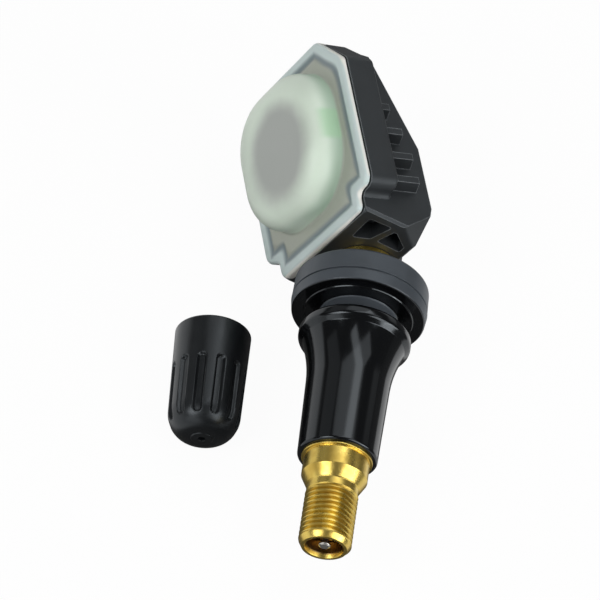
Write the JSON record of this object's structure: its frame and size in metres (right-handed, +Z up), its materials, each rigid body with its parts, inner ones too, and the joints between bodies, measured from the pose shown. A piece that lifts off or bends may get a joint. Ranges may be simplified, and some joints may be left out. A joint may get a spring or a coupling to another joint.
{
  "type": "tyre pressure sensor",
  "caption": "Snap-in tyre pressure sensor: dark housing under a translucent domed lid, brass valve stem in a rubber sleeve, sprung valve core pin and a loose ribbed dust cap.",
  "frame": {"origin": "centre of the rubber flange's sealing face, on the valve stem's axis", "axes": "-Y along the stem towards its tip, +Z up as the parts lie in the picture, +X to the right of the stem seen from its tip side with Z up"},
  "size_m": [0.0381, 0.08, 0.0335],
  "materials": {
    "housing_plastic": "finely textured moulded nylon, near black",
    "lid_plastic": "frosted translucent moulding, pale green-white",
    "cell_steel": "nickel-plated can",
    "tab_steel": "thin plated strip",
    "board": "solder-masked laminate",
    "chip_plastic": "moulded chip package",
    "seal_rubber": "soft matt rubber",
    "ferrite": "sintered ferrite",
    "copper": "bare copper",
    "stem_brass": "turned brass",
    "boot_rubber": "smooth moulded rubber with a wet sheen",
    "screw_steel": "zinc-plated",
    "core_brass": "turned brass",
    "core_ring": "waxy seal ring",
    "pin_steel": "bright drawn steel",
    "cap_plastic": "satin moulded plastic"
  },
  "bodies": {
    "sensor": {"housing": "housing_plastic", "lid": "lid_plastic", "battery_cell": "cell_steel", "battery_tab_positive": "tab_steel", "battery_tab_negative": "tab_steel", "circuit_board": "board", "sensor_chip": "chip_plastic", "port_seal": "seal_rubber", "coil_core": "ferrite", "coil_winding": "copper", "radio_chip": "chip_plastic", "crystal": "tab_steel", "antenna": "copper", "brass_stem": "stem_brass", "rubber_boot": "boot_rubber", "stem_screw": "screw_steel", "core_plug": "core_brass", "core_plug_seal": "core_ring", "core_barrel": "core_brass", "core_spring": "pin_steel", "valve_cap": "cap_plastic", "cap_seal": "seal_rubber"},
    "core": {"core_pin": "pin_steel", "core_cup": "core_brass", "core_gasket": "seal_rubber"}
  },
  "joints": [
    {"name": "core_press", "type": "slide", "parent": "sensor", "child": "core", "axis": [0, 1, 0], "range_m": [0, 0.0015], "stiffness_N_per_m": 2000, "springref_m": -0.002, "deforming": ["core_spring"]}
  ]
}
